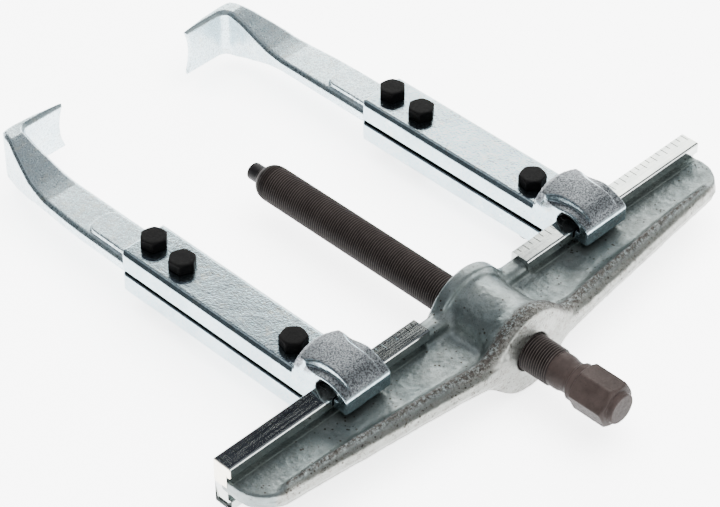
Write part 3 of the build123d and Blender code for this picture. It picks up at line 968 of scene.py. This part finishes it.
FORGING = forging_material()
RAIL_MAT = rail_material()
ZINC = zinc_material("bright_zinc", (0.45, 0.565, 0.62), (0.35, 0.445, 0.49), 0.16, 0.24)
LEG_ZINC = zinc_material("leg_zinc", (0.55, 0.66, 0.705), (0.45, 0.55, 0.595), 0.25, 0.34)
STEEL_EDGE = (0.075, 0.064, 0.060)
PHOSPHATE = phosphate_material(
    "phosphated_steel", (0.026, 0.0195, 0.018), (0.0165, 0.0125, 0.0115), 0.36, 0.54, STEEL_EDGE
)
THREAD = phosphate_material(
    "phosphated_thread", (0.015, 0.012, 0.011), (0.009, 0.007, 0.0066), 0.36, 0.54, STEEL_EDGE
)
TIP_BLACK = phosphate_material(
    "tip_black", (0.006, 0.0055, 0.006), (0.003, 0.0028, 0.003), 0.34, 0.50, (0.02, 0.019, 0.019)
)
OXIDE = phosphate_material(
    "black_oxide", (0.0022, 0.0022, 0.0024), (0.0012, 0.0012, 0.0013), 0.46, 0.64,
    (0.008, 0.008, 0.0085)
)

# ------------------------------------------------------------------ pieces
beam_mesh = forging()
wear_forging(beam_mesh)
place(beam_mesh, "crossbeam_forging", "crossbeam", FORGING, "crossbeam")
for side_name, sign in (("left", -1), ("right", 1)):
    name = "rail_" + side_name
    place(rail(sign, name), name, "crossbeam", RAIL_MAT, "crossbeam")

half_mesh = carrier_mesh()
for side_name, mirror in (("left", 1), ("right", -1)):
    arm = ARM_X[side_name]
    body = side_name + "_arm"
    for level in ("upper", "lower"):
        node = "carrier_%s_%s" % (side_name, level)
        half = copy_at(half_mesh, node + "_skin", arm, flip_z=level == "lower")
        place(half, node + "_skin", body, ZINC, node)
    node = "leg_" + side_name
    leg = copy_at(leg_mesh(mirror), node + "_skin", arm, flip_x=mirror < 0)
    place(leg, node + "_skin", body, LEG_ZINC, node)

head_mesh = hex_mesh("bolt_head", PLATE_TOP, PLATE_TOP + HEAD_HEIGHT)
nut_mesh = hex_mesh("nut", -PLATE_TOP - NUT_HEIGHT, -PLATE_TOP, NUT_BORE)
points, faces = thread_mesh(
    SHANK_R, SHANK_THREAD, SHANK_PITCH, SHANK_END, PLATE_TOP + 0.5, steps=28
)
shank_mesh = clean_mesh("bolt_shank", points[:, [0, 2, 1]], faces)
bolt_parts = (("head", head_mesh, "bolt"), ("shank", shank_mesh, "bolt"), ("hex", nut_mesh, "nut"))
pivot = Vector((0, RAIL / 1000, 0))
for side_name in ("left", "right"):
    for k in (1, 2, 3):
        cx, cy, _ = node_middle("bolt_%s_%d" % (side_name, k))
        turn = Matrix.Rotation(math.radians(HEX_TURNS[k - 1]), 4, "Z")
        turn = Matrix.Translation(pivot) @ turn @ Matrix.Translation(-pivot)
        at = Matrix.Translation((cx / 1000, cy / 1000, 0))
        for part, part_mesh, kind in bolt_parts:
            node = "%s_%s_%d" % (kind, side_name, k)
            copy = part_mesh.copy()
            copy.transform(at @ turn)
            place(copy, node + "_" + part, side_name + "_arm", OXIDE, node)

place(screw_mesh(), "spindle_thread", "spindle", THREAD, "spindle")
place(spindle_head(), "spindle_head", "spindle", PHOSPHATE, "spindle")
nose = [(y, float(dome(y)) - 0.03) for y in (182.4, 183.2, 184.0, 184.8, 185.5, 186.0)]
nose_mesh = lathe("spindle_nose", nose + [(186.35, 6.9), (186.4, 6.2)])
place(nose_mesh, "spindle_nose", "spindle", PHOSPHATE, "spindle")
tip = [(186.5, 6.6), (186.9, 6.9), (187.8, 6.8), (188.5, 6.1), (189.0, 5.95), (195.6, 5.95)]
tip += [(196.5, 5.7), (197.0, 5.2), (197.3, 4.3)]
place(lathe("tip_point", tip), "tip_point", "tip", TIP_BLACK, "pressure_tip")

# ------------------------------------------------------------------ camera
CAMERA_AZIMUTH, CAMERA_ELEVATION = math.radians(-45.218), math.radians(41.1505)
back = Vector((
    math.sin(CAMERA_AZIMUTH) * math.cos(CAMERA_ELEVATION),
    -math.cos(CAMERA_AZIMUTH) * math.cos(CAMERA_ELEVATION),
    math.sin(CAMERA_ELEVATION),
))
camera_data = bpy.data.cameras.new("camera")
camera_data.lens = 138.39
camera_data.sensor_width = 36.0
camera_data.clip_end = 50
camera = bpy.data.objects.new("camera", camera_data)
camera.location = (-0.92161, -0.91956, 1.15440)
camera.rotation_mode = "QUATERNION"
camera.rotation_quaternion = (-back).to_track_quat("-Z", "Y")
bpy.context.scene.collection.objects.link(camera)
bpy.context.scene.camera = camera

# ------------------------------------------------------------------ floor
FLOOR_HALF = 12.0
floor_points = [(-FLOOR_HALF, -FLOOR_HALF, 0), (FLOOR_HALF, -FLOOR_HALF, 0)]
floor_points += [(FLOOR_HALF, FLOOR_HALF, 0), (-FLOOR_HALF, FLOOR_HALF, 0)]
floor_mesh = bpy.data.meshes.new("floor")
floor_mesh.from_pydata(floor_points, [], [(0, 1, 2, 3)])
floor = bpy.data.objects.new("floor", floor_mesh)
bpy.context.scene.collection.objects.link(floor)
paper = Shader("floor_paper")
white = paper.mix(paper.noise(6, 3), (0.90, 0.90, 0.90), (0.92, 0.92, 0.92))
paper.finish(white, 0.9, None, 0.0)
paper.bsdf.inputs["Emission Color"].default_value = (1, 1, 1, 1)
paper.bsdf.inputs["Emission Strength"].default_value = 3.6
floor_mesh.materials.append(paper.mat)

# ------------------------------------------------------------------ studio light
world = bpy.data.worlds.new("studio")
bpy.context.scene.world = world
world.use_nodes = True
nodes, links = world.node_tree.nodes, world.node_tree.links
background = nodes["Background"]
where = nodes.new("ShaderNodeTexCoord")
split = nodes.new("ShaderNodeSeparateXYZ")
links.new(where.outputs["Generated"], split.inputs[0])
toward_x, toward_y, up = split.outputs


def sky_node(kind, a, b):
    node = nodes.new("ShaderNodeMath")
    node.operation = kind
    for socket, value in zip(node.inputs, (a, b)):
        if isinstance(value, bpy.types.NodeSocket):
            links.new(value, socket)
        else:
            socket.default_value = value
    return node.outputs[0]


def sky_ramp(value, stops):
    node = nodes.new("ShaderNodeValToRGB")
    links.new(value, node.inputs[0])
    while len(node.color_ramp.elements) < len(stops):
        node.color_ramp.elements.new(0.5)
    for element, (at, colour) in zip(node.color_ramp.elements, stops):
        element.position = at
        element.color = (*colour, 1.0)
    return node.outputs[0]


def sky_mix(amount, a, b):
    node = nodes.new("ShaderNodeMix")
    node.data_type = "RGBA"
    for socket, value in zip((node.inputs[0], node.inputs[6], node.inputs[7]), (amount, a, b)):
        links.new(value, socket)
    return node.outputs[2]


# A dim room, a large white panel behind the tool toward +x+y, a soft fill toward +x-y and a dark
# flag toward -x+y. facing is 1 toward the panel, and side is 0 toward the fill, 1 toward the flag.
level = sky_node("SQRT", sky_node("SUBTRACT", 1.0001, sky_node("MULTIPLY", up, up)), 0.0)
diagonal = sky_node("MULTIPLY", sky_node("ADD", toward_x, toward_y), DIAGONAL)
facing = sky_node("DIVIDE", diagonal, level)
lateral = sky_node("SUBTRACT", toward_y, toward_x)
side = sky_node("MULTIPLY", sky_node("DIVIDE", lateral, level), 0.3536)
side = sky_node("ADD", side, 0.5)
slanted = sky_node("ADD", up, sky_node("MULTIPLY", lateral, 0.18))

BLACK, WHITE = (0, 0, 0), (1, 1, 1)
CEILING = (0.62, 0.63, 0.65)
room = sky_ramp(up, [
    (0.0, (3.0, 3.05, 3.0)), (0.10, (2.0, 2.05, 2.0)), (0.24, (0.50, 0.54, 0.56)),
    (0.38, (0.19, 0.205, 0.215)), (0.66, (0.18, 0.195, 0.21)), (0.77, (0.62, 0.65, 0.68)),
    (0.86, (1.05, 1.08, 1.10)), (1.0, CEILING),
])
fill = sky_ramp(up, [
    (0.0, (3.0, 3.05, 3.0)), (0.12, (1.7, 1.75, 1.7)), (0.30, (1.25, 1.28, 1.22)),
    (0.52, (1.1, 1.12, 1.08)), (0.66, (0.4, 0.42, 0.42)), (0.76, (0.26, 0.28, 0.31)),
    (0.86, (0.46, 0.48, 0.51)), (1.0, CEILING),
])
flag = sky_ramp(up, [
    (0.0, (1.6, 1.65, 1.65)), (0.08, (0.4, 0.44, 0.46)), (0.22, (0.10, 0.11, 0.115)),
    (0.62, (0.10, 0.11, 0.12)), (0.77, (0.50, 0.53, 0.56)), (0.86, (1.00, 1.03, 1.05)),
    (1.0, CEILING),
])
panel = sky_ramp(slanted, [
    (0.0, (1.9, 1.95, 2.0)), (0.48, (8.2, 8.2, 7.9)), (0.622, (8.0, 8.0, 7.6)),
    (0.641, (1.10, 1.15, 1.20)), (0.664, (0.10, 0.11, 0.12)), (0.70, (0.02, 0.024, 0.038)),
    (0.76, (0.10, 0.11, 0.14)), (0.88, (0.46, 0.48, 0.51)),
])
at_panel = sky_ramp(facing, [(0.0, BLACK), (0.72, BLACK), (0.88, WHITE)])
at_fill = sky_ramp(side, [(0.0, WHITE), (0.20, WHITE), (0.33, BLACK)])
at_flag = sky_ramp(side, [(0.0, BLACK), (0.64, BLACK), (0.76, WHITE)])
sky = sky_mix(at_flag, sky_mix(at_fill, room, fill), flag)
links.new(sky_mix(at_panel, sky, panel), background.inputs["Color"])
background.inputs["Strength"].default_value = 1.0

OVERHEAD_AT = Vector((0.3, -0.4, 3.2))
lamp_data = bpy.data.lights.new("overhead", "AREA")
lamp_data.shape = "DISK"
lamp_data.size = 5.0
lamp_data.energy = 700
lamp = bpy.data.objects.new("overhead", lamp_data)
lamp.location = OVERHEAD_AT
lamp.rotation_mode = "QUATERNION"
lamp.rotation_quaternion = (-OVERHEAD_AT).to_track_quat("-Z", "Y")
lamp.visible_camera = False
lamp.visible_glossy = False
bpy.context.scene.collection.objects.link(lamp)
